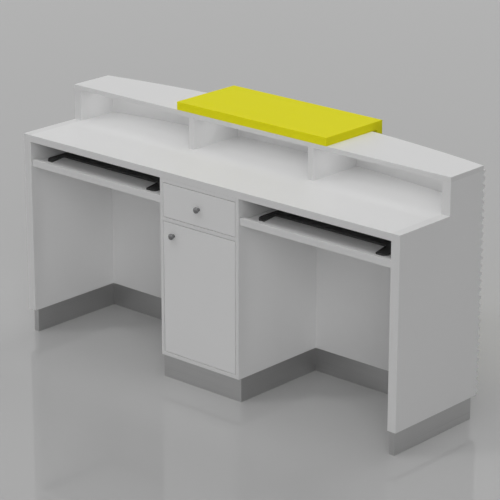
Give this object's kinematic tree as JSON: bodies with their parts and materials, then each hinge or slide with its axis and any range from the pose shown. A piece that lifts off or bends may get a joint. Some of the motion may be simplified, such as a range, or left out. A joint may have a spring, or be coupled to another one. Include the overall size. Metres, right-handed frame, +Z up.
{
  "type": "reception desk",
  "caption": "Reception desk with a raised bowed counter over pigeonholes, a drawer and cupboard pedestal, sliding keyboard trays, a wave-faced customer side and a coloured top panel.",
  "frame": {"origin": "on the floor under the middle of the whole box, knobs and accent panel included", "axes": "+X along the desk, to the right of a person seated at it; +Y from the staff side to the customer side; +Z up"},
  "size_m": [2, 0.6662, 1.066],
  "materials": {
    "white_laminate": "white melamine laminate on board, satin",
    "yellow_laminate": "yellow lacquer on board, satin",
    "bare_board": "bare board, hidden",
    "brushed_metal": "brushed",
    "zinc_steel": "zinc plated",
    "polished_steel": "polished",
    "black_plastic": "moulded, fine grain"
  },
  "bodies": {
    "carcass": {"end_panel_left": "white_laminate", "end_panel_right": "white_laminate", "pigeonhole_divider_left": "white_laminate", "pigeonhole_divider_right": "white_laminate", "worktop": "white_laminate", "counter_top": "white_laminate", "back_board": "white_laminate", "bent_skin": "white_laminate", "former_bottom": "bare_board", "former_middle": "bare_board", "wave_panel_left": "white_laminate", "wave_panel_right": "white_laminate", "accent_batten_left": "bare_board", "accent_batten_right": "bare_board", "accent_front": "yellow_laminate", "accent_top": "yellow_laminate", "plinth_left": "brushed_metal", "plinth_right": "brushed_metal", "plinth_cabinet_left": "brushed_metal", "plinth_cabinet_right": "brushed_metal", "plinth_cabinet_front": "brushed_metal", "plinth_bowed": "brushed_metal", "plinth_back": "brushed_metal", "cabinet_side_left": "white_laminate", "cabinet_side_right": "white_laminate", "cabinet_bottom": "white_laminate", "cabinet_divider": "white_laminate", "cabinet_top_rail": "white_laminate", "cabinet_shelf": "white_laminate", "shelf_batten_left": "white_laminate", "shelf_batten_right": "white_laminate", "drawer_channel_left": "zinc_steel", "drawer_channel_right": "zinc_steel", "hinge_arm_upper": "zinc_steel", "hinge_arm_lower": "zinc_steel", "tray_channel_left_left": "zinc_steel", "tray_channel_left_right": "zinc_steel", "tray_channel_right_left": "zinc_steel", "tray_channel_right_right": "zinc_steel"},
    "drawer": {"drawer_front": "white_laminate", "drawer_side_left": "white_laminate", "drawer_side_right": "white_laminate", "drawer_back": "white_laminate", "drawer_floor": "white_laminate", "drawer_knob": "polished_steel", "drawer_runner_left": "zinc_steel", "drawer_runner_right": "zinc_steel"},
    "door": {"door_panel": "white_laminate", "door_knob": "polished_steel", "hinge_cup_upper": "zinc_steel", "hinge_cup_lower": "zinc_steel"},
    "tray_left": {"tray_shelf_left": "white_laminate", "tray_insert_left": "black_plastic", "tray_runner_left_left": "zinc_steel", "tray_runner_left_right": "zinc_steel"},
    "tray_right": {"tray_shelf_right": "white_laminate", "tray_insert_right": "black_plastic", "tray_runner_right_left": "zinc_steel", "tray_runner_right_right": "zinc_steel"}
  },
  "joints": [
    {"name": "drawer_slide", "type": "slide", "parent": "carcass", "child": "drawer", "axis": [0, -1, 0], "range_m": [0, 0.3]},
    {"name": "door_hinge", "type": "hinge", "parent": "carcass", "child": "door", "pos_m": [0.193, -0.31015, 0.395], "axis": [0, 0, 1], "range_deg": [0, 100]},
    {"name": "tray_left_slide", "type": "slide", "parent": "carcass", "child": "tray_left", "axis": [0, -1, 0], "range_m": [0, 0.26]},
    {"name": "tray_right_slide", "type": "slide", "parent": "carcass", "child": "tray_right", "axis": [0, -1, 0], "range_m": [0, 0.26]}
  ]
}
